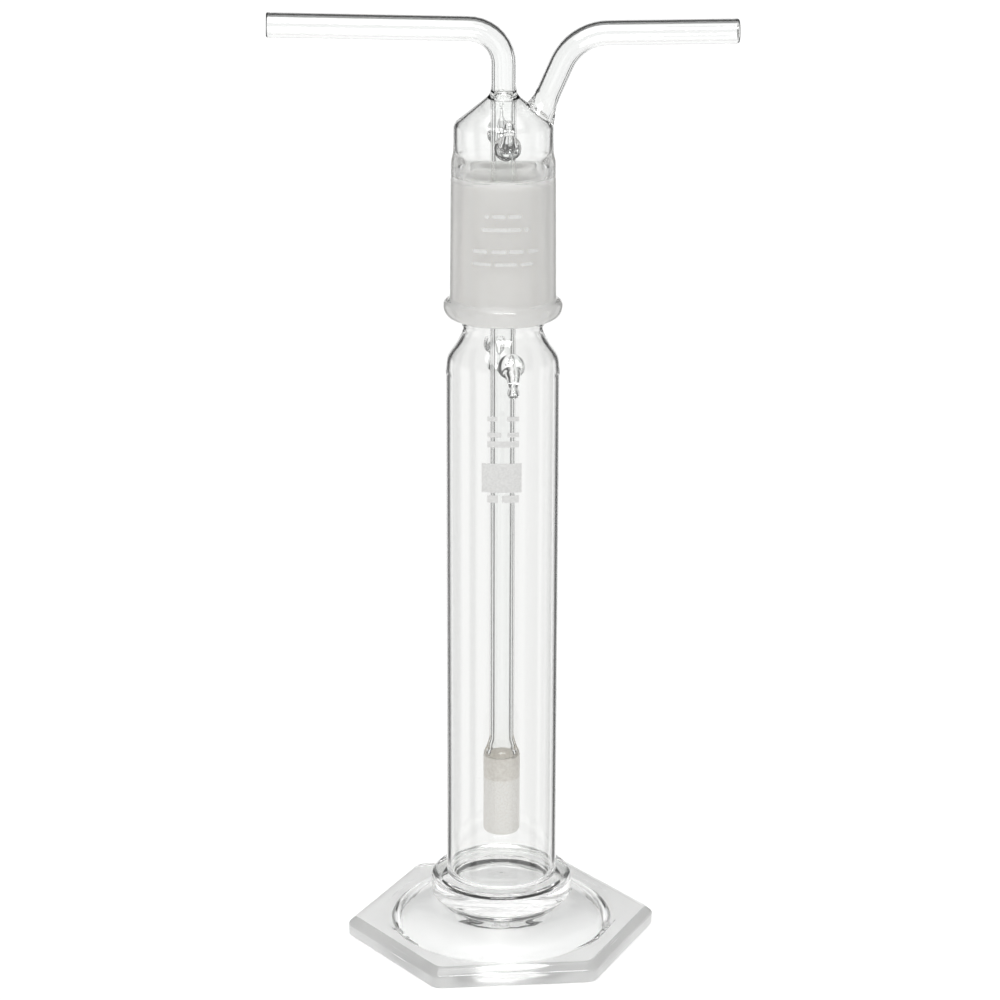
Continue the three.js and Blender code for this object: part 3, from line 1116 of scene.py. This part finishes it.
def seen_in_glass(tree, azimuth, height):
    """Panels with dark gaps, a bright ground, a dark ceiling with a softbox, and the strip."""
    ground = lerp_band(tree, height, -0.5, -0.75)
    panels = math_node(tree, "MAXIMUM", bright_panels(tree, azimuth), ground)
    panels = math_node(tree, "MULTIPLY", panels, PANEL_LIGHT)
    below_ceiling = math_node(tree, "SUBTRACT", 1.0, lerp_band(tree, height, 0.05, 0.16))
    softbox = math_node(tree, "MULTIPLY", lerp_band(tree, height, 0.86, 0.95), SOFTBOX_LIGHT)
    seen = math_node(tree, "ADD", math_node(tree, "MULTIPLY", panels, below_ceiling), softbox)
    seen = math_node(tree, "ADD", seen, GAP_LIGHT)
    return math_node(tree, "ADD", seen, strip_light(tree, azimuth, height))


def falls_on_matt(tree, back):
    """Matt surfaces are lit from the front, with less light from the sides and the back."""
    front = math_node(tree, "MULTIPLY", lerp_band(tree, back, 0.5, -0.8), FRONT_LIGHT)
    return math_node(tree, "ADD", BACK_LIGHT, front)


def studio_world():
    """White all round for the eye; a pattern of light for clear glass to bend and reflect."""
    world = bpy.data.worlds.new("studio")
    bpy.context.scene.world = world
    world.use_nodes = True
    tree = world.node_tree
    tree.nodes.clear()
    place = node(tree, "ShaderNodeTexCoord")
    parts = node(tree, "ShaderNodeSeparateXYZ")
    tree.links.new(place.outputs["Generated"], parts.inputs["Vector"])
    azimuth = math_node(tree, "ARCTAN2", parts.outputs["Y"], parts.outputs["X"])
    rays = node(tree, "ShaderNodeLightPath")
    bent = math_node(tree, "MAXIMUM", rays.outputs["Is Glossy Ray"], rays.outputs["Is Transmission Ray"])
    unscattered = math_node(tree, "LESS_THAN", rays.outputs["Diffuse Depth"], 0.5)
    bent = math_node(tree, "MULTIPLY", bent, unscattered)
    matt = falls_on_matt(tree, parts.outputs["Y"])
    plain = blend(tree, matt, BACKGROUND, rays.outputs["Is Camera Ray"])
    strength = blend(tree, plain, seen_in_glass(tree, azimuth, parts.outputs["Z"]), bent)
    light = node(tree, "ShaderNodeBackground", Color=(1.0, 1.0, 0.998, 1))
    out = node(tree, "ShaderNodeOutputWorld")
    tree.links.new(strength, light.inputs["Strength"])
    tree.links.new(light.outputs["Background"], out.inputs["Surface"])


def fade_out(made, start, end):
    """The sheet fades into the white behind it between two distances from the middle."""
    tree = made.node_tree
    place = node(tree, "ShaderNodeTexCoord")
    length = node(tree, "ShaderNodeVectorMath")
    length.operation = "LENGTH"
    tree.links.new(place.outputs["Object"], length.inputs[0])
    alpha = lerp_band(tree, length.outputs["Value"], end, start)
    tree.links.new(alpha, tree.nodes["Principled BSDF"].inputs["Alpha"])


def studio_floor():
    """A sheet of white paper under the foot. All its lengths are in metres."""
    reach, fade_start, fade_end, gap = 0.16, 0.056, 0.074, 0.0002
    work = bmesh.new()
    bmesh.ops.create_circle(work, cap_ends=True, segments=96, radius=reach)
    paper = material(
        "floor_paper", (0.93, 0.93, 0.93), 0.9,
        Emission_Color=(1, 1, 1, 1), Emission_Strength=0.46,
    )
    add_bump(paper, 400, 0.00002, 3.0)
    fade_out(paper, fade_start, fade_end)
    floor = placed("floor", work, paper)
    floor.location.z = -gap


def studio_light():
    """One large soft box overhead, a little in front and to the left."""
    lamp = bpy.data.lights.new("softbox", "AREA")
    lamp.shape = "DISK"
    lamp.size = 0.9
    lamp.energy = 6
    made = bpy.data.objects.new("softbox", lamp)
    made.location = (-0.25, -0.5, 1.3)
    made.rotation_euler = (Vector((0, 0, 0.15)) - made.location).to_track_quat("-Z", "Y").to_euler()
    bpy.context.scene.collection.objects.link(made)


def camera():
    """The camera of the photo, found by fitting rings and corners of the object to it."""
    lens = bpy.data.cameras.new("camera")
    lens.sensor_width = 36
    lens.lens = 100.2
    lens.shift_x = -0.0024
    made = bpy.data.objects.new("camera", lens)
    heading, tilt, roll = math.radians(-3.9), math.radians(90 - 15.642), math.radians(0.171)
    away, height = 0.872, 0.3952
    turn = Matrix.Rotation(heading, 4, "Z")
    place = turn @ Vector((0, -away, height))
    pose = turn @ Matrix.Rotation(tilt, 4, "X") @ Matrix.Rotation(roll, 4, "Z")
    made.matrix_world = Matrix.Translation(place) @ pose
    bpy.context.scene.collection.objects.link(made)
    bpy.context.scene.camera = made


def light_paths():
    """Plain colours, and many bounces for clear glass in several layers."""
    scene = bpy.context.scene
    scene.view_settings.view_transform = "Standard"
    scene.cycles.max_bounces = 40
    scene.cycles.transmission_bounces = 40
    scene.cycles.glossy_bounces = 16
    scene.cycles.transparent_max_bounces = 64


# ---------------------------------------------------------------- all of it

camera()
light_paths()
studio_world()
studio_floor()
studio_light()

BOTTLE = {
    "hex_foot": (hex_foot, "clear_glass"),
    "foot_collar": (foot_collar, "clear_glass"),
    "body_tube": (body_tube, "clear_glass"),
    "neck_shoulder": (neck_shoulder, "clear_glass"),
    "inner_joint": (inner_joint, "ground_glass"),
}
HEAD = {
    "outer_joint": (outer_joint, "ground_glass"),
    "joint_rim": (joint_rim, "clear_glass"),
    "head_dome": (head_dome, "clear_glass"),
    "ring_seal": (ring_seal, "clear_glass"),
    "inlet_arm": (inlet_arm, "clear_glass"),
    "outlet_root": (outlet_root, "clear_glass"),
    "outlet_arm": (outlet_arm, "clear_glass"),
    "dip_tube": (dip_tube, "clear_glass"),
    "frit_bell": (frit_bell, "clear_glass"),
    "frit_seal": (frit_seal, "sealed_frit"),
    "frit_cylinder": (frit_cylinder, "porous_glass"),
}
pieces = {}
for body, members in (("bottle", BOTTLE), ("head", HEAD)):
    for node_name, (make, slot) in members.items():
        pieces[node_name] = stands_for(make(), node_name, body)
fused(pieces["outlet_root"], pieces["head_dome"], inside_dome)
horns("bottle", pieces["neck_shoulder"], inside_shoulder, seat_radius=17.4, height=199.4, up=-1, turn=4.7)
horns("head", pieces["head_dome"], inside_dome, seat_radius=16.3, height=268.2, up=1, turn=0.5)
marks()
